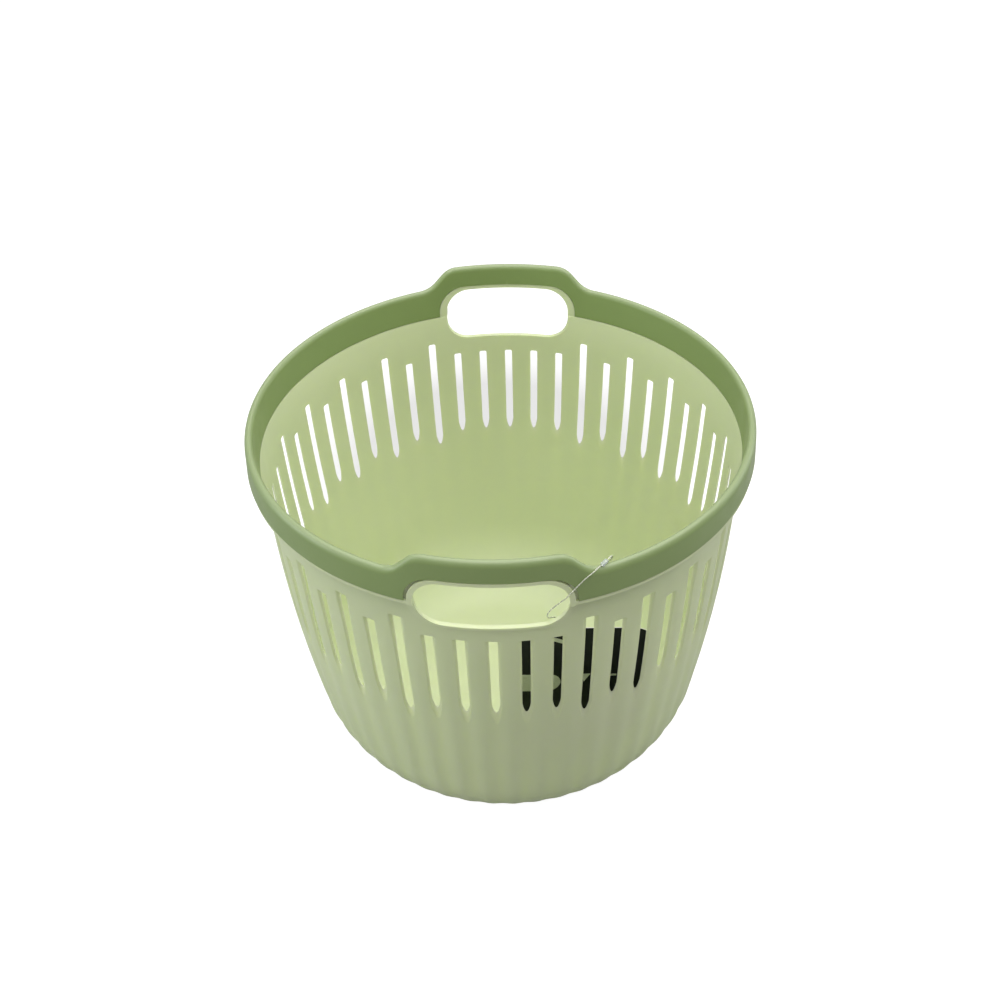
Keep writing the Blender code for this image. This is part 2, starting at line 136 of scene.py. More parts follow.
# Handle hole and collar
HOLE_HALF_WIDTH = 0.0518
HOLE_TOP_DEPTH = 0.0030
HOLE_BOTTOM_DEPTH = 0.0480
HOLE_CORNER = 0.0190
HOLE_ARC_STEPS = 12
HOLE_RUN_PARTS = 24                     # the long top and bottom runs follow the rim's curve in so many parts
COLLAR_INSET = 0.0020                   # the collar's blank reaches this far into the hole, until it is cut
COLLAR_SIDE = 0.0040
COLLAR_TOP = 0.0027
COLLAR_BOTTOM = 0.0025
COLLAR_CORNER = 0.0220
COLLAR_FRONT_RADIUS = 0.1903
COLLAR_BACK_SHY = 0.0004                # inside, the collar stops this far short of the band's face
COLLAR_BACK_SINK = 0.7                  # below the ring its back lies this share of the wall's thickness in
COLLAR_FILL_RADIUS = 0.1862             # inside this radius the collar widens to fill the ring's cut-out
COLLAR_LEAST = 0.0006                   # the least that the outer part keeps in front of that
COLLAR_STEP = (0.0264, 0.0282)          # between these depths its face drops from the flange to the wall
COLLAR_STEP_PARTS = 4
COLLAR_PROUD = 0.0012
COLLAR_ROUND = 0.0009
COLLAR_EDGE_ANGLE = math.radians(50)
COLLAR_MARGIN = 0.0005                  # edges this far outside the collar still count as its own
COLLAR_NEAREST = 0.17                   # and they lie at least this far from the basket's middle
CUTTER_REACH = 0.220

# Rim ring. The skirt's and the band's feet are (radius, depth).
HUMP_FLAT = 0.0432
SHOULDER_RADIUS = 0.0180
TOE_RADIUS = 0.0198
HUMP_SLOPE = math.radians(45)
SKIRT = ((0.1884, 0.0224), (0.1887, 0.0228), (0.1902, 0.0228), (0.1906, 0.0226), (0.1908, 0.0221))
OUTER_TOP_RADIUS = 0.1900
OUTER_ROUND = 0.0034
INNER_TOP_RADIUS = 0.1835
INNER_ROUND = 0.0030
TOP_STRETCH = 1.6                       # the top's roundings run down this much further than in
BAND_FOOT = ((0.1813, 0.0248), (0.1815, 0.0253), (0.1820, 0.0255), (0.1858, 0.0255))
BAND_ROWS = 7
RING_TOP_THICKNESS = 0.0026
RING_ARC_STEPS = 5
RING_FINE_STEP = math.radians(0.3)
RING_PLAIN_STEP = math.radians(1.0)
HUMP_REACH = math.radians(27)
CUTOUT_GAP_SIDE = 0.0018
CUTOUT_GAP_TOP = 0.0006
CUTOUT_CORNER = 0.0207
CUTOUT_ROUND = 0.0005

# Hang tag
TAG_HOLE = Vector((0.0556, -0.1405, 0.2142))
TAG_TURNS = (("Z", 10.0), ("X", 1.5), ("Y", 9.0))
# Each corner's x and z in the card's own frame, and its rounding
CARD_CORNERS = ((0.062, 0.006, 0.020), (-0.042, 0.006, 0.020),
                (-0.042, -0.100, 0.008), (0.062, -0.100, 0.008))
CARD_THICKNESS = 0.0008
CARD_ARC_STEPS = 10
CARD_EDGE_ROUND = 0.00012
PUNCH_RADIUS = 0.0025
PUNCH_SIDES = 32
PUNCH_REACH = 0.01
PRINT_THICKNESS = 0.00006
LOOP_DIAMETER = 0.0008
LOOP_SUBDIVISIONS = 4
LOCK_CENTRE = Vector((0.0738, -0.1712, 0.3099))
LOCK_SIZE = Vector((0.0060, 0.0030, 0.0022))
LOCK_TURN = math.radians(54.5)
LOCK_CORNER = 0.0006
# How full the lock is along its length, from its middle (0) to its ends (-1 and 1)
LOCK_SWELL = ((-1.0, 0.72), (-0.86, 0.94), (-0.62, 1.0), (-0.38, 0.90),
              (0.38, 0.90), (0.62, 1.0), (0.86, 0.94), (1.0, 0.72))
LOOP_ROUTE = (
    (0.0719, -0.1739, 0.3099), (0.0709, -0.1753, 0.3106), (0.0699, -0.1769, 0.3109),
    (0.0685, -0.1783, 0.3104), (0.0667, -0.1796, 0.3092), (0.0644, -0.1804, 0.3074),
    (0.0606, -0.1817, 0.3041), (0.0568, -0.1829, 0.3000), (0.0529, -0.1841, 0.2958),
    (0.0491, -0.1848, 0.2910), (0.0450, -0.1832, 0.2852), (0.0408, -0.1809, 0.2786),
    (0.0376, -0.1789, 0.2724), (0.0367, -0.1769, 0.2669), (0.0379, -0.1746, 0.2630),
    (0.0400, -0.1710, 0.2602), (0.0426, -0.1666, 0.2556), (0.0460, -0.1610, 0.2466),
    (0.0496, -0.1556, 0.2364), (0.0530, -0.1510, 0.2264), (0.0553, -0.1476, 0.2190),
    (0.0562, -0.1450, 0.2152), (0.0560, -0.1427, 0.2142), (0.0556, -0.1405, 0.2142),
    (0.0552, -0.1381, 0.2152), (0.0552, -0.1369, 0.2186), (0.0559, -0.1370, 0.2240),
    (0.0585, -0.1396, 0.2380), (0.0625, -0.1442, 0.2550), (0.0670, -0.1496, 0.2720),
    (0.0720, -0.1554, 0.2880), (0.0764, -0.1602, 0.3000), (0.0786, -0.1630, 0.3062),
    (0.0792, -0.1646, 0.3094), (0.0786, -0.1656, 0.3108), (0.0773, -0.1668, 0.3107),
    (0.0757, -0.1685, 0.3099),
)


# ---- materials ----

def new_material(name):
    material = bpy.data.materials.new(name)
    material.use_nodes = True
    tree = material.node_tree
    return material, tree, tree.nodes["Principled BSDF"]


def noise(tree, scale, detail, rough=0.5):
    """A 3-D noise in the piece's own coordinates, scale in features per metre."""
    place = tree.nodes.new("ShaderNodeTexCoord")
    texture = tree.nodes.new("ShaderNodeTexNoise")
    texture.inputs["Scale"].default_value = scale
    texture.inputs["Detail"].default_value = detail
    texture.inputs["Roughness"].default_value = rough
    tree.links.new(place.outputs["Object"], texture.inputs["Vector"])
    return texture.outputs["Fac"]


def spread(tree, source, low, high, to_low=0.0, to_high=1.0):
    """Maps a factor's middle range onto new limits."""
    mapped = tree.nodes.new("ShaderNodeMapRange")
    for socket, value in (("From Min", low), ("From Max", high), ("To Min", to_low), ("To Max", to_high)):
        mapped.inputs[socket].default_value = value
    tree.links.new(source, mapped.inputs["Value"])
    return mapped.outputs["Result"]


def blend_colours(tree, factor, one, other):
    mix = tree.nodes.new("ShaderNodeMix")
    mix.data_type = "RGBA"
    tree.links.new(factor, mix.inputs["Factor"])
    for socket, colour in (("A", one), ("B", other)):
        target = next(s for s in mix.inputs if s.name == socket and s.type == "RGBA")
        if isinstance(colour, tuple):
            target.default_value = (*colour, 1.0)
        else:
            tree.links.new(colour, target)
    return next(s for s in mix.outputs if s.type == "RGBA")


def add_bump(tree, shader, height, distance, strength):
    bump = tree.nodes.new("ShaderNodeBump")
    bump.inputs["Strength"].default_value = strength
    bump.inputs["Distance"].default_value = distance
    tree.links.new(height, bump.inputs["Height"])
    tree.links.new(bump.outputs["Normal"], shader.inputs["Normal"])


def moulded_plastic(name, colour, shade, edge, roughness, grain, translucent, painted_top_highlight=None):
    """Injection-moulded polypropylene: soft tone drift, paler worn edges, a fine spark-eroded grain.

    The last colour, when given, is a painted highlight: surfaces that face upwards are painted paler,
    standing in for the light from above.
    """
    material, tree, shader = new_material(name)
    drift = spread(tree, noise(tree, 9, 3), 0.35, 0.65)
    body = blend_colours(tree, drift, colour, shade)
    geometry = tree.nodes.new("ShaderNodeNewGeometry")
    worn = spread(tree, geometry.outputs["Pointiness"], 0.53, 0.60, 0.0, 0.35)
    coloured = blend_colours(tree, worn, body, edge)
    # Painted highlight: the more a surface faces upwards, the more it takes the paler colour, as if lit from
    # the top light.
    if painted_top_highlight:
        facing = tree.nodes.new("ShaderNodeSeparateXYZ")
        tree.links.new(geometry.outputs["Normal"], facing.inputs["Vector"])
        highlight_share = spread(tree, facing.outputs["Z"], 0.15, 0.85)
        coloured = blend_colours(tree, highlight_share, coloured, painted_top_highlight)
    tree.links.new(coloured, shader.inputs["Base Color"])
    polish = spread(tree, noise(tree, 45, 4), 0.3, 0.7, roughness - 0.05, roughness + 0.06)
    tree.links.new(polish, shader.inputs["Roughness"])
    add_bump(tree, shader, noise(tree, grain, 2, 0.6), 0.00012, 0.35)
    shader.inputs["Specular IOR Level"].default_value = 0.45
    shader.inputs["IOR"].default_value = 1.49
    shader.inputs["Subsurface Weight"].default_value = translucent
    shader.inputs["Subsurface Radius"].default_value = (1.0, 1.1, 0.55)
    shader.inputs["Subsurface Scale"].default_value = 0.004
    return material


def coated_card(name):
    """Dark coated board: a soft sheen over faint paper fibres."""
    material, tree, shader = new_material(name)
    fibres = spread(tree, noise(tree, 260, 5, 0.7), 0.3, 0.7)
    tree.links.new(blend_colours(tree, fibres, (0.0055, 0.0080, 0.0082), (0.0095, 0.0125, 0.0120)),
                   shader.inputs["Base Color"])
    polish = spread(tree, noise(tree, 40, 3), 0.3, 0.7, 0.36, 0.48)
    tree.links.new(polish, shader.inputs["Roughness"])
    add_bump(tree, shader, fibres, 0.00005, 0.3)
    shader.inputs["Specular IOR Level"].default_value = 0.3
    return material


def paper(name, colour, shade):
    """Bare or inked paper, matt, with fibres in its tone and height."""
    material, tree, shader = new_material(name)
    fibres = spread(tree, noise(tree, 700, 5, 0.7), 0.3, 0.7)
    tree.links.new(blend_colours(tree, fibres, colour, shade), shader.inputs["Base Color"])
    shader.inputs["Roughness"].default_value = 0.75
    add_bump(tree, shader, fibres, 0.00004, 0.4)
    return material


def nylon(name, colour, shade, roughness, transmission):
    """Clear drawn nylon: slightly cloudy, with streaks in its polish."""
    material, tree, shader = new_material(name)
    cloud = spread(tree, noise(tree, 320, 3), 0.35, 0.65)
    tree.links.new(blend_colours(tree, cloud, colour, shade), shader.inputs["Base Color"])
    polish = spread(tree, noise(tree, 900, 2), 0.3, 0.7, roughness - 0.05, roughness + 0.08)
    tree.links.new(polish, shader.inputs["Roughness"])
    shader.inputs["IOR"].default_value = 1.53
    shader.inputs["Transmission Weight"].default_value = transmission
    return material


def floor_paint():
    """A matt grey sweep for the light it gives, lifted to white for the camera but for a soft shade."""
    material, tree, shader = new_material("studio_white")
    tone = spread(tree, noise(tree, 2, 2), 0.3, 0.7)
    tree.links.new(blend_colours(tree, tone, (FLOOR_TONE,) * 3, (FLOOR_TONE * 0.96,) * 3),
                   shader.inputs["Base Color"])
    shader.inputs["Roughness"].default_value = 0.9
    glow = tree.nodes.new("ShaderNodeEmission")
    place = tree.nodes.new("ShaderNodeTexCoord")
    centred = tree.nodes.new("ShaderNodeMapping")
    centred.inputs["Location"].default_value = -FLOOR_SHADE_CENTRE / FLOOR_SHADE_RADIUS
    centred.inputs["Scale"].default_value = (1 / FLOOR_SHADE_RADIUS,) * 3
    falloff = tree.nodes.new("ShaderNodeTexGradient")
    falloff.gradient_type = "SPHERICAL"
    tree.links.new(place.outputs["Object"], centred.inputs["Vector"])
    tree.links.new(centred.outputs["Vector"], falloff.inputs["Vector"])
    shaded = spread(tree, falloff.outputs["Fac"], 0.04, 0.45, FLOOR_GLOW, FLOOR_GLOW * (1 - FLOOR_SHADE))
    tree.links.new(shaded, glow.inputs["Strength"])
    matt = tree.nodes.new("ShaderNodeBsdfDiffuse")
    matt.inputs["Color"].default_value = (FLOOR_SEEN_TONE,) * 3 + (1.0,)
    lifted = tree.nodes.new("ShaderNodeAddShader")
    tree.links.new(glow.outputs["Emission"], lifted.inputs[0])
    tree.links.new(matt.outputs["BSDF"], lifted.inputs[1])
    pick_for_camera(tree, shader.outputs["BSDF"], lifted.outputs["Shader"], tree.nodes["Material Output"])
    return material


# ---- mesh helpers ----

def add_object(name, mesh, *materials):
    obj = bpy.data.objects.new(name, mesh)
    bpy.context.scene.collection.objects.link(obj)
    for material in materials:
        mesh.materials.append(material)
    return obj


def to_mesh(name, bm):
    bmesh.ops.recalc_face_normals(bm, faces=bm.faces)
    mesh = bpy.data.meshes.new(name)
    bm.to_mesh(mesh)
    bm.free()
    return mesh


def shade(obj, sharp_degrees=35.0):
    """Smooth shading that keeps crisp edges, and takes most of its direction from the large faces."""
    obj.data.shade_smooth()
    obj.data.set_sharp_from_angle(angle=math.radians(sharp_degrees))
    weighted = obj.modifiers.new("weighted normals", "WEIGHTED_NORMAL")
    weighted.keep_sharp = True
    apply_modifiers(obj)


def apply_modifiers(obj):
    """Give the object the mesh that its modifiers make, and drop them."""
    evaluated = obj.evaluated_get(bpy.context.evaluated_depsgraph_get())
    mesh = bpy.data.meshes.new_from_object(evaluated)
    obj.modifiers.clear()
    obj.data = mesh


def combine(obj, operation, *tools):
    """Join the tools' meshes to the object or cut them out of it, then throw the tools away."""
    for tool in tools:
        cut = obj.modifiers.new("tool", "BOOLEAN")
        cut.object = tool
        cut.operation = operation
        cut.solver = "EXACT"
    apply_modifiers(obj)
    for tool in tools:
        bpy.data.objects.remove(tool)


def round_edges(obj, width, segments=3, degrees=50.0):
    bevel = obj.modifiers.new("rounded edges", "BEVEL")
    bevel.width = width
    bevel.segments = segments
    bevel.limit_method = "ANGLE"
    bevel.angle_limit = math.radians(degrees)
    apply_modifiers(obj)


def bridge_loops(bm, loops, close_ends=False, ring=False):
    """Faces between neighbouring closed loops of points; ring joins the last loop to the first."""
    rows = [[bm.verts.new(point) for point in loop] for loop in loops]
    pairs = list(zip(rows, rows[1:]))
    if ring:
        pairs.append((rows[-1], rows[0]))
    for one, other in pairs:
        for here in range(len(one)):
            after = (here + 1) % len(one)
            bm.faces.new((one[here], one[after], other[after], other[here]))
    if close_ends:
        bm.faces.new(rows[0])
        bm.faces.new(rows[-1])
    return rows


def on_rim(radius, angle, height):
    return Vector((radius * math.sin(angle), -radius * math.cos(angle), height))


def ease(value, start, end):
    """0 before start, 1 after end, smooth between."""
    share = min(max((value - start) / (end - start), 0.0), 1.0)
    return share * share * (3 - 2 * share)


def arc_points(centre, radius, start, end, steps, stretch=1.0):
    """Points along an arc, angles in degrees, stretched along its second axis."""
    turns = [math.radians(start + (end - start) * step / steps) for step in range(steps + 1)]
    return [(centre[0] + radius * math.cos(turn), centre[1] + radius * stretch * math.sin(turn))
            for turn in turns]


def points_between(start, end, parts):
    """The points that divide a straight line into so many parts, without its ends."""
    return [tuple(a + (b - a) * part / parts for a, b in zip(start, end)) for part in range(1, parts)]


def rounded_rectangle(half_width, low, high, corner, steps, run_parts=1, side_heights=()):
    """An anticlockwise outline in (x, z), with extra points along its top and bottom and up both sides."""
    middle = half_width - corner
    points = arc_points((middle, high - corner), corner, 0, 90, steps)
    points += points_between((middle, high), (-middle, high), run_parts)
    points += arc_points((-middle, high - corner), corner, 90, 180, steps)
    points += [(-half_width, height) for height in sorted(side_heights, reverse=True)]
    points += arc_points((-middle, low + corner), corner, 180, 270, steps)
    points += points_between((-middle, low), (middle, low), run_parts)
    points += arc_points((middle, low + corner), corner, 270, 360, steps)
    points += [(half_width, height) for height in sorted(side_heights)]
    return points


# ---- tub ----

def wall_radius(depth):
    past = depth / RIM_RADIUS - WALL_DEPTH_REF
    radius = RIM_RADIUS * (WALL_CURVE[0] + WALL_CURVE[1] * past + WALL_CURVE[2] * past ** 2)
    if depth < FLARE_DEPTH:
        radius += FLARE * ((FLARE_DEPTH - depth) / (FLARE_DEPTH - LEDGE_LIP[0][1])) ** 2
    return radius


def hump_rise(angle):
    """Height of the ring's top above the plain rim: a flat hump with 45 degree slopes over each handle."""
    arc = abs(math.remainder(angle, math.pi)) * RIM_RADIUS
    shoulder_end = HUMP_FLAT + SHOULDER_RADIUS * math.sin(HUMP_SLOPE)
    shoulder_rise = HUMP_RISE - SHOULDER_RADIUS * (1 - math.cos(HUMP_SLOPE))
    toe_rise = TOE_RADIUS * (1 - math.cos(HUMP_SLOPE))
    toe_start = shoulder_end + (shoulder_rise - toe_rise) / math.tan(HUMP_SLOPE)
    toe_end = toe_start + TOE_RADIUS * math.sin(HUMP_SLOPE)
    if arc <= HUMP_FLAT:
        return HUMP_RISE
    if arc <= shoulder_end:
        return HUMP_RISE - SHOULDER_RADIUS + math.sqrt(SHOULDER_RADIUS ** 2 - (arc - HUMP_FLAT) ** 2)
    if arc <= toe_start:
        return shoulder_rise - (arc - shoulder_end) * math.tan(HUMP_SLOPE)
    if arc < toe_end:
        return TOE_RADIUS - math.sqrt(TOE_RADIUS ** 2 - (toe_end - arc) ** 2)
    return 0.0


def corner_rows(skin, floor):
    """(radius, depth, uprightness) down the rounded bottom corner, from the wall to the base."""
    rows = []
    for step in range(CORNER_STEPS + 1):
        turn = math.pi / 2 * step / CORNER_STEPS
        depth = RIM_HEIGHT - CORNER_HEIGHT + (CORNER_HEIGHT - floor) * math.sin(turn)
        rows.append((wall_radius(depth) - skin - CORNER_RUN * (1 - math.cos(turn)), depth, math.cos(turn)))
    return rows


def stave_profile():
    """The wall's section as (radius, depth, ripple share), under the base, up outside and down inside."""
    wall_foot = RIM_HEIGHT - CORNER_HEIGHT
    lip_foot = FLANGE_LIP[0][1]
    rows = [(radius, RIM_HEIGHT - height, 0.0) for radius, height in BASE_RELIEF]
    rows += reversed(corner_rows(0.0, 0.0))
    for step in range(1, WALL_ROWS):
        depth = wall_foot + (lip_foot - wall_foot) * step / WALL_ROWS
        rows.append((wall_radius(depth), depth, ease(depth, RIPPLE_START, RIPPLE_FULL)))
    rows += [(radius, depth, 0.0) for radius, depth in (*FLANGE_LIP, *UPSTAND, *LEDGE_LIP)]
    ledge = LEDGE_LIP[-1][1]
    for step in range(1, INNER_ROWS):
        depth = ledge + (wall_foot - ledge) * step / INNER_ROWS
        rows.append((wall_radius(depth) - WALL, depth, 0.0))
    rows += [(radius, depth, 0.0) for radius, depth, _ in corner_rows(WALL, FLOOR)]
    rows += [(radius, RIM_HEIGHT - FLOOR - rise, 0.0) for radius, rise in FLOOR_RELIEF]
    return rows


def channel_section(floor_radius, depth, half_width):
    """Half the channel across one level: its curved floor, then the bank that rises through the wall."""
    across = [half_width * step / CHANNEL_FLOOR_STEPS for step in range(CHANNEL_FLOOR_STEPS + 1)]
    section = [(x, floor_radius + CHANNEL_CURVE - math.sqrt(CHANNEL_CURVE ** 2 - x * x)) for x in across]
    foot = max(section[-1][1], wall_radius(depth) - WALL)
    crest = max(wall_radius(depth), foot + HAIR)
    share = max((crest - foot) / WALL, CHANNEL_BANK_LEAST)
    section += [(half_width + out * share, foot + (crest - foot) * up) for out, up in CHANNEL_BANKS]
    section.append((section[-1][0] + HAIR, CHANNEL_REACH))
    return section


def channel_cutter(is_long):
    """One slot's channel: its floor keeps its radius, so it runs out of the wall below the slot."""
    floor_radius = wall_radius(SLOT_BOTTOMS[is_long]) - WALL
    top = SLOT_TOPS[is_long]
    round_start = top + SLOT_TIP_ROUND
    run = SLOT_BOTTOMS[is_long] + CHANNEL_RUN_OUT - round_start
    levels = [(round_start + run * step / CHANNEL_LEVELS, SLOT_HALF_WIDTH)
              for step in range(CHANNEL_LEVELS, 0, -1)]
    tip_centre = (SLOT_HALF_WIDTH - SLOT_TIP_ROUND, -round_start)
    for across, up in arc_points(tip_centre, SLOT_TIP_ROUND, 0, 90, SLOT_TIP_STEPS):
        levels.append((-up, across))
    loops = []
    for depth, half_width in levels:
        right = [Vector((x, -radius, RIM_HEIGHT - depth))
                 for x, radius in channel_section(floor_radius, depth, half_width)]
        left = [Vector((-point.x, point.y, point.z)) for point in right[:0:-1]]
        loops.append(left + right)
    bm = bmesh.new()
    bridge_loops(bm, loops, close_ends=True)
    return add_object("channel_cutter", to_mesh("channel_cutter", bm))


def stave_mesh(is_long):
    """One slot's share of the wall: a closed wedge, cut by the slot, then opened at its sides and tip."""
    profile = stave_profile()
    bm = bmesh.new()
    loops = []
    for column in range(STAVE_COLUMNS + 1):
        angle = PITCH * (column / STAVE_COLUMNS - 0.5)
        valley = 0.5 + 0.5 * math.cos(math.tau * angle / PITCH)
        loops.append([on_rim(radius - RIPPLE_DEPTH * share * valley, angle, RIM_HEIGHT - depth)
                      for radius, depth, share in profile])
    bridge_loops(bm, loops, close_ends=True)
    stave = add_object("stave", to_mesh("stave", bm))
    combine(stave, "DIFFERENCE", channel_cutter(is_long))
    opened = bmesh.new()
    opened.from_mesh(stave.data)
    bpy.data.objects.remove(stave)
    side_edge = PITCH / 2 - ON_SIDE
    open_faces = []
    for face in opened.faces:
        turns = [math.atan2(v.co.x, -v.co.y) for v in face.verts]
        in_side = min(turns) > side_edge or max(turns) < -side_edge
        in_eye = max(math.hypot(v.co.x, v.co.y) for v in face.verts) < BASE_EYE + ON_SIDE
        if in_side or in_eye:
            open_faces.append(face)
    bmesh.ops.delete(opened, geom=open_faces, context="FACES")
    mesh = bpy.data.meshes.new("stave_long" if is_long else "stave_short")
    opened.to_mesh(mesh)
    opened.free()
    return mesh


def slot_angles():
    """The slots' middles round the basket, with True for each long slot."""
    reach = SLOTS_PER_HALF // 2
    for handle in (0.0, math.pi):
        for index in range(-reach, reach + 1):
            yield handle + index * PITCH, index % 2 == 1 and 3 <= abs(index) < reach


def prism(name, outline):
    """A cutter along Y through both handles."""
    bm = bmesh.new()
    bridge_loops(bm, [[Vector((x, y, z)) for x, z in outline] for y in (-CUTTER_REACH, CUTTER_REACH)],
                 close_ends=True)
    return add_object(name, to_mesh(name, bm))


def hole_outline(side, top, bottom, corner, side_heights=()):
    """The handle hole's outline, grown by so much at its sides, top and bottom."""
    low = RIM_HEIGHT - HOLE_BOTTOM_DEPTH - bottom
    high = RIM_HEIGHT - HOLE_TOP_DEPTH + top
    return rounded_rectangle(HOLE_HALF_WIDTH + side, low, high, corner, HOLE_ARC_STEPS, HOLE_RUN_PARTS,
                             side_heights)


def collar_front(depth):
    """Outside, the collar stands level with the ring, and just proud of the wall under the flange."""
    low_radius = wall_radius(depth) + COLLAR_PROUD
    return COLLAR_FRONT_RADIUS + (low_radius - COLLAR_FRONT_RADIUS) * ease(depth, *COLLAR_STEP)


def collar_back(depth):
    """Inside, the collar ends just short of the band's face, and lies within the wall below the ring."""
    if depth > BAND_FOOT[-1][1]:
        return wall_radius(depth) - WALL * COLLAR_BACK_SINK
    band_top = INNER_ROUND * TOP_STRETCH - HUMP_RISE
    share = (BAND_FOOT[0][1] - depth) / (BAND_FOOT[0][1] - band_top)
    return BAND_FOOT[0][0] + (INNER_TOP_RADIUS - BAND_FOOT[0][0]) * share + COLLAR_BACK_SHY


def collar_fill(depth):
    """Where the collar's narrower outer part meets the wider part that fills the ring's cut-out."""
    return min(COLLAR_FILL_RADIUS, collar_front(depth) - COLLAR_LEAST)


def collar_blank(turn):
    """The moulded loop round one handle hole, before the hole is cut through it."""
    drop = COLLAR_STEP[1] - COLLAR_STEP[0]
    steps = [RIM_HEIGHT - COLLAR_STEP[0] - drop * part / COLLAR_STEP_PARTS
             for part in range(COLLAR_STEP_PARTS + 1)]
    outer = hole_outline(COLLAR_SIDE, COLLAR_TOP, COLLAR_BOTTOM, COLLAR_CORNER, steps)
    filling = hole_outline(COLLAR_SIDE + CUTOUT_GAP_SIDE, COLLAR_TOP + CUTOUT_GAP_TOP, COLLAR_BOTTOM + HAIR,
                           COLLAR_CORNER, steps)
    inner = hole_outline(-COLLAR_INSET, -COLLAR_INSET, -COLLAR_INSET, HOLE_CORNER - COLLAR_INSET, steps)
    loops = []
    for outline, surface in ((outer, collar_front), (inner, collar_front), (inner, collar_back),
                             (filling, collar_back), (filling, collar_fill), (outer, collar_fill)):
        loops.append([Vector((x, -math.sqrt(surface(RIM_HEIGHT - z) ** 2 - x * x), z)) for x, z in outline])
    bm = bmesh.new()
    bridge_loops(bm, loops, ring=True)
    bm.transform(Matrix.Rotation(turn, 4, "Z"))
    return add_object("collar_blank", to_mesh("collar_blank", bm))


def round_collar_edges(tub):
    """Round the collars' and holes' edges, and leave the slots' edges crisp."""
    bm = bmesh.new()
    bm.from_mesh(tub.data)
    weight = bm.edges.layers.float.new("bevel_weight_edge")
    reach = HOLE_HALF_WIDTH + COLLAR_SIDE + COLLAR_MARGIN
    low = RIM_HEIGHT - HOLE_BOTTOM_DEPTH - COLLAR_BOTTOM - COLLAR_MARGIN
    for edge in bm.edges:
        near = all(abs(v.co.x) < reach and v.co.z > low and abs(v.co.y) > COLLAR_NEAREST for v in edge.verts)
        if near and len(edge.link_faces) == 2 and edge.calc_face_angle() > COLLAR_EDGE_ANGLE:
            edge[weight] = 1.0
    bm.to_mesh(tub.data)
    bm.free()
    bevel = tub.modifiers.new("rounded edges", "BEVEL")
    bevel.limit_method = "WEIGHT"
    bevel.width = COLLAR_ROUND
    bevel.segments = 3
    apply_modifiers(tub)


def make_tub(plastic):
    """The tub: fifty staves round a base, two handle holes, and a collar round each hole."""
    staves = {kind: stave_mesh(kind) for kind in (True, False)}
    bm = bmesh.new()
    for angle, is_long in slot_angles():
        before = len(bm.verts)
        bm.from_mesh(staves[is_long])
        bm.verts.ensure_lookup_table()
        bmesh.ops.rotate(bm, verts=bm.verts[before:], cent=(0, 0, 0), matrix=Matrix.Rotation(angle, 3, "Z"))
    bmesh.ops.remove_doubles(bm, verts=bm.verts, dist=WELD_DISTANCE)
    bmesh.ops.holes_fill(bm, edges=[edge for edge in bm.edges if edge.is_boundary], sides=0)
    for vert in bm.verts:
        if vert.co.z > RIM_HEIGHT - UPSTAND_RIDES:
            vert.co.z += hump_rise(math.atan2(vert.co.x, -vert.co.y))
    tub = add_object("basket_tub", to_mesh("basket_tub", bm), plastic)
    combine(tub, "UNION", collar_blank(0.0), collar_blank(math.pi))
    combine(tub, "DIFFERENCE", prism("hole_cutter", hole_outline(0.0, 0.0, 0.0, HOLE_CORNER)))
    round_collar_edges(tub)
    shade(tub)
    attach(tub, "basket")
    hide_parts("basket_body")
    return tub


# ---- rim ring ----

def ring_section(rise):
    """The channel's section as (radius, height), from inside the skirt's foot round and back."""
    top = RIM_HEIGHT + rise
    outer_centre = (OUTER_TOP_RADIUS - OUTER_ROUND, top - OUTER_ROUND * TOP_STRETCH)
    inner_centre = (INNER_TOP_RADIUS + INNER_ROUND, top - INNER_ROUND * TOP_STRETCH)
    outer = arc_points(outer_centre, OUTER_ROUND, 0, 90, RING_ARC_STEPS, TOP_STRETCH)
    inner = arc_points(inner_centre, INNER_ROUND, 90, 180, RING_ARC_STEPS, TOP_STRETCH)
    skirt = [(radius, RIM_HEIGHT - depth) for radius, depth in SKIRT]
    foot = [(radius, RIM_HEIGHT - depth) for radius, depth in BAND_FOOT]
    points = skirt + points_between(skirt[-1], outer[0], BAND_ROWS) + outer
    points += inner + points_between(inner[-1], foot[0], BAND_ROWS) + foot
    points.append((BAND_FOOT[-1][0], top - RING_TOP_THICKNESS))
    points.append((SKIRT[0][0], top - RING_TOP_THICKNESS))
    return points


def ring_angles():
    """Close steps over the humps, wider steps between them."""
    angles = []
    for handle in (0.0, math.pi):
        fine = round(2 * HUMP_REACH / RING_FINE_STEP)
        angles += [handle - HUMP_REACH + 2 * HUMP_REACH * step / fine for step in range(fine)]
        plain_span = math.pi - 2 * HUMP_REACH
        plain = round(plain_span / RING_PLAIN_STEP)
        angles += [handle + HUMP_REACH + plain_span * step / plain for step in range(plain)]
    return angles


def make_ring(plastic):
    """The darker channel pressed over the tub's upstand, cut out round both handle collars."""
    loops = [[on_rim(radius, angle, height) for radius, height in ring_section(hump_rise(angle))]
             for angle in ring_angles()]
    bm = bmesh.new()
    bridge_loops(bm, loops, ring=True)
    ring = add_object("rim_band", to_mesh("rim_band", bm), plastic)
    cutout = hole_outline(COLLAR_SIDE + CUTOUT_GAP_SIDE, COLLAR_TOP + CUTOUT_GAP_TOP,
                          COLLAR_BOTTOM, CUTOUT_CORNER)
    combine(ring, "DIFFERENCE", prism("ring_cutter", cutout))
    round_edges(ring, CUTOUT_ROUND, segments=2)
    shade(ring)
    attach(ring, "basket")
    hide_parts("rim_ring")
    return ring


# ---- hang tag ----

def tag_placement():
    placement = Matrix.Translation(TAG_HOLE)
    for axis, degrees in TAG_TURNS:
        placement @= Matrix.Rotation(math.radians(degrees), 4, axis)
    return placement


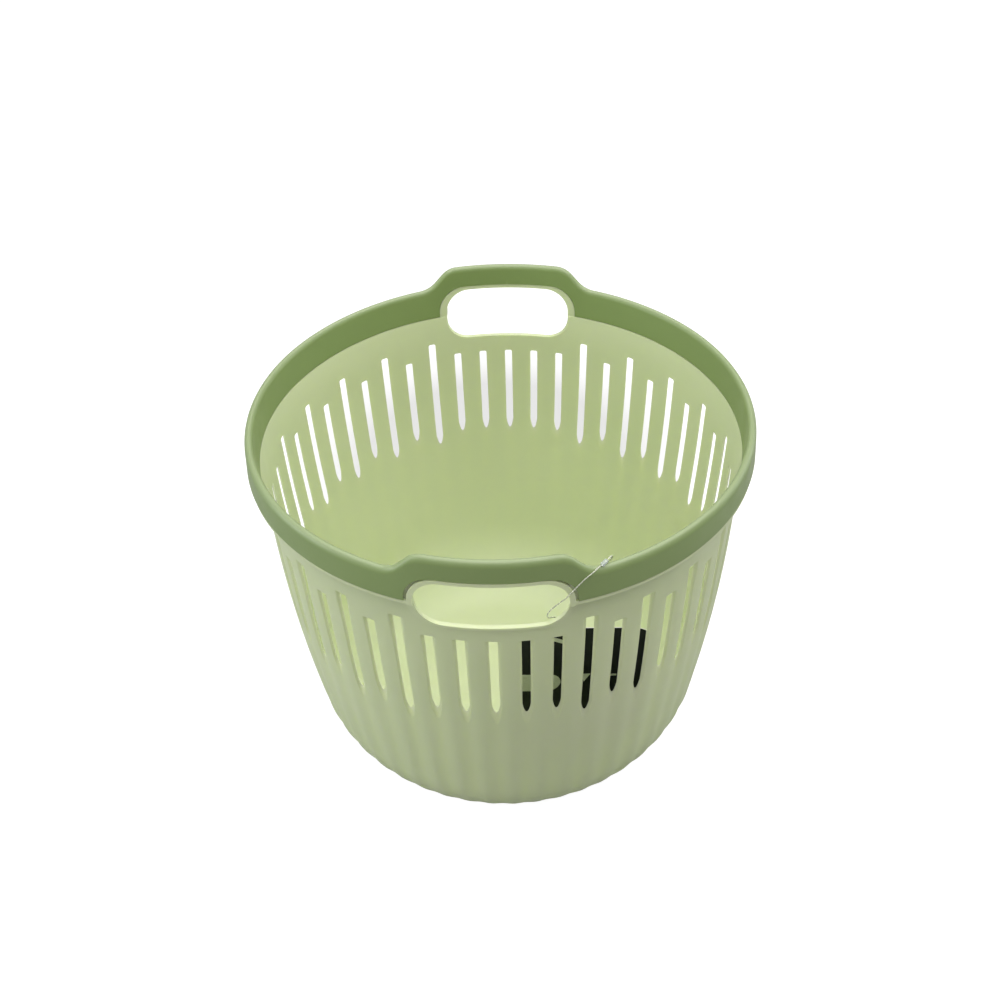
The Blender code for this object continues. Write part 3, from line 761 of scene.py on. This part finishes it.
def plate(bm, outline, back, front, side_material=0):
    """A flat plate in the card's own frame, from y = back to y = front, with an outline in (x, z)."""
    rows = bridge_loops(bm, [[Vector((x, y, z)) for x, z in outline] for y in (back, front)], close_ends=True)
    for vert in rows[0]:
        for face in vert.link_faces:
            if len(face.verts) == 4 and abs(face.calc_center_median().y - (back + front) / 2) < 1e-7:
                face.material_index = side_material


def card_outline():
    points = []
    for (x, z, radius), start in zip(CARD_CORNERS, (0, 90, 180, 270)):
        centre = (x - math.copysign(radius, x), z - math.copysign(radius, z))
        points += arc_points(centre, radius, start, start + 90, CARD_ARC_STEPS)
    return points


def make_card(board, core):
    """The coated card with its bare edges, punched for the loop."""
    bm = bmesh.new()
    plate(bm, card_outline(), -CARD_THICKNESS / 2, CARD_THICKNESS / 2, side_material=1)
    card = add_object("hang_tag_card", to_mesh("hang_tag_card", bm), board, core)
    punch = bmesh.new()
    across = Matrix.Rotation(math.pi / 2, 4, "X")
    bmesh.ops.create_cone(punch, cap_ends=True, segments=PUNCH_SIDES, radius1=PUNCH_RADIUS,
                          radius2=PUNCH_RADIUS, depth=PUNCH_REACH, matrix=across)
    combine(card, "DIFFERENCE", add_object("punch", to_mesh("punch", punch)))
    round_edges(card, CARD_EDGE_ROUND, segments=1)
    shade(card, 30)
    card.matrix_world = tag_placement()
    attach(card, "tag")
    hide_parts("tag_card")
    return card


def make_print(ink):
    """Generic marks on the card's outer face: a round-ended band, a triangle, a dash and a stripe."""
    band = [(-0.0330, -0.0595), *arc_points((-0.0108, -0.05075), 0.00875, -90, 90, 12), (-0.0330, -0.0420)]
    triangle = [(0.0120, -0.0415), (0.0155, -0.0500), (0.0190, -0.0415)]
    dash = [(0.0330, -0.0440), (0.0390, -0.0440), (0.0390, -0.0420), (0.0330, -0.0420)]
    stripe = [(-0.0200, -0.0050), (-0.0050, -0.0104), (-0.0050, -0.0068), (-0.0200, -0.0014)]
    face = -CARD_THICKNESS / 2
    bm = bmesh.new()
    for outline in (band, triangle, dash, stripe):
        plate(bm, outline, face, face - PRINT_THICKNESS)
    marks = add_object("hang_tag_print", to_mesh("hang_tag_print", bm), ink)
    marks.matrix_world = tag_placement()
    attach(marks, "tag")
    return marks


def smooth_route(points, subdivisions):
    """Points along the Catmull-Rom curve through a route."""
    route = [Vector(point) for point in points]
    padded = [route[0] * 2 - route[1], *route, route[-1] * 2 - route[-2]]
    result = []
    for p0, p1, p2, p3 in zip(padded, padded[1:], padded[2:], padded[3:]):
        for step in range(subdivisions):
            t = step / subdivisions
            result.append(0.5 * (2 * p1 + (p2 - p0) * t + (2 * p0 - 5 * p1 + 4 * p2 - p3) * t ** 2
                                 + (3 * p1 - 3 * p2 + p3 - p0) * t ** 3))
    result.append(route[-1])
    return result


def make_loop(clear, lock):
    """The nylon loop: from the lock over the rim, through the handle hole and the card, and back."""
    curve = bpy.data.curves.new("hang_tag_loop", "CURVE")
    curve.dimensions = "3D"
    curve.bevel_depth = LOOP_DIAMETER / 2
    curve.bevel_resolution = 3
    curve.use_fill_caps = True
    points = smooth_route(LOOP_ROUTE, LOOP_SUBDIVISIONS)
    spline = curve.splines.new("POLY")
    spline.points.add(len(points) - 1)
    for place, point in zip(spline.points, points):
        place.co = (*point, 1.0)
    curve.materials.append(clear)
    loop = bpy.data.objects.new("hang_tag_loop", curve)
    bpy.context.scene.collection.objects.link(loop)
    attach(loop, "basket")
    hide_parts("tag_loop")
    return loop


def make_lock(clear):
    """The moulded catch that takes both ends of the loop: a block with a waist and two raised lips."""
    bm = bmesh.new()
    half = LOCK_SIZE / 2
    loops = []
    for along, swell in LOCK_SWELL:
        outline = rounded_rectangle(half.y * swell, -half.z * swell, half.z * swell, LOCK_CORNER, 4)
        loops.append([Vector((half.x * along, y, z)) for y, z in outline])
    bridge_loops(bm, loops, close_ends=True)
    lock = add_object("hang_tag_lock", to_mesh("hang_tag_lock", bm), clear)
    shade(lock, 50)
    lock.matrix_world = Matrix.Translation(LOCK_CENTRE) @ Matrix.Rotation(LOCK_TURN, 4, "Z")
    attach(lock, "basket")
    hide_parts("tag_lock")
    return lock


# ---- studio ----

def make_camera():
    camera = bpy.data.cameras.new("camera")
    camera.lens = CAMERA_LENS
    camera.sensor_width = 36.0
    camera.clip_start = 0.01
    obj = bpy.data.objects.new("camera", camera)
    obj.location = CAMERA_LOCATION
    obj.rotation_mode = "QUATERNION"
    facing = (CAMERA_AIM - CAMERA_LOCATION).to_track_quat("-Z", "Y")
    obj.rotation_quaternion = facing @ Quaternion((0, 0, 1), CAMERA_ROLL)
    bpy.context.scene.collection.objects.link(obj)
    bpy.context.scene.camera = obj


def area_light(name, place, size, watts, colour):
    light = bpy.data.lights.new(name, "AREA")
    light.shape = "SQUARE"
    light.size = size
    light.energy = watts
    light.color = colour
    obj = bpy.data.objects.new(name, light)
    obj.location = place
    obj.rotation_mode = "QUATERNION"
    obj.rotation_quaternion = (LIGHT_AIM - Vector(place)).to_track_quat("-Z", "Y")
    bpy.context.scene.collection.objects.link(obj)


def pick_for_camera(tree, lighting, seen, output):
    """Studio only: what the camera sees directly, apart from the light that the same surface gives."""
    path = tree.nodes.new("ShaderNodeLightPath")
    mix = tree.nodes.new("ShaderNodeMixShader")
    tree.links.new(path.outputs["Is Camera Ray"], mix.inputs["Fac"])
    tree.links.new(lighting, mix.inputs[1])
    tree.links.new(seen, mix.inputs[2])
    tree.links.new(mix.outputs["Shader"], output.inputs["Surface"])


def make_world():
    """White behind the object for the camera, and a softer white for the light it gives."""
    world = bpy.data.worlds.new("soft_white")
    world.use_nodes = True
    tree = world.node_tree
    lit = tree.nodes["Background"]
    lit.inputs["Color"].default_value = (1.0, 1.0, 1.0, 1.0)
    lit.inputs["Strength"].default_value = WORLD_STRENGTH
    seen = tree.nodes.new("ShaderNodeBackground")
    seen.inputs["Color"].default_value = (1.0, 1.0, 1.0, 1.0)
    pick_for_camera(tree, lit.outputs["Background"], seen.outputs["Background"], tree.nodes["World Output"])
    bpy.context.scene.world = world


def make_studio():
    make_world()
    bpy.context.scene.view_settings.view_transform = "Standard"
    for light in LIGHTS:
        area_light(*light)
    bm = bmesh.new()
    bmesh.ops.create_grid(bm, x_segments=8, y_segments=8, size=STUDIO_FLOOR_SIZE)
    floor = add_object("studio_floor", to_mesh("studio_floor", bm), floor_paint())
    floor.location.z = -STUDIO_FLOOR_DROP


def main():
    make_camera()
    clear = nylon("nylon_clear", (0.80, 0.82, 0.72), (0.76, 0.78, 0.68), 0.24, 0.50)
    catch = nylon("lock_clear", (0.62, 0.68, 0.66), (0.70, 0.75, 0.74), 0.34, 0.75)
    make_loop(clear, make_lock(catch))
    make_tub(moulded_plastic("body_green", (0.53, 0.585, 0.370), (0.51, 0.57, 0.355), (0.55, 0.61, 0.395),
                             0.42, 1500, 0.42))
    # The rim's last colour is a painted highlight on its upward faces.
    make_ring(moulded_plastic("rim_green", (0.190, 0.264, 0.094), (0.183, 0.255, 0.089), (0.28, 0.36, 0.19),
                              0.38, 1500, 0.08, (0.225, 0.280, 0.150)))
    make_card(coated_card("card_dark"), paper("card_core", (0.62, 0.62, 0.58), (0.50, 0.50, 0.46)))
    make_print(paper("card_ink", (0.68, 0.74, 0.54), (0.60, 0.66, 0.48)))
    make_studio()


main()
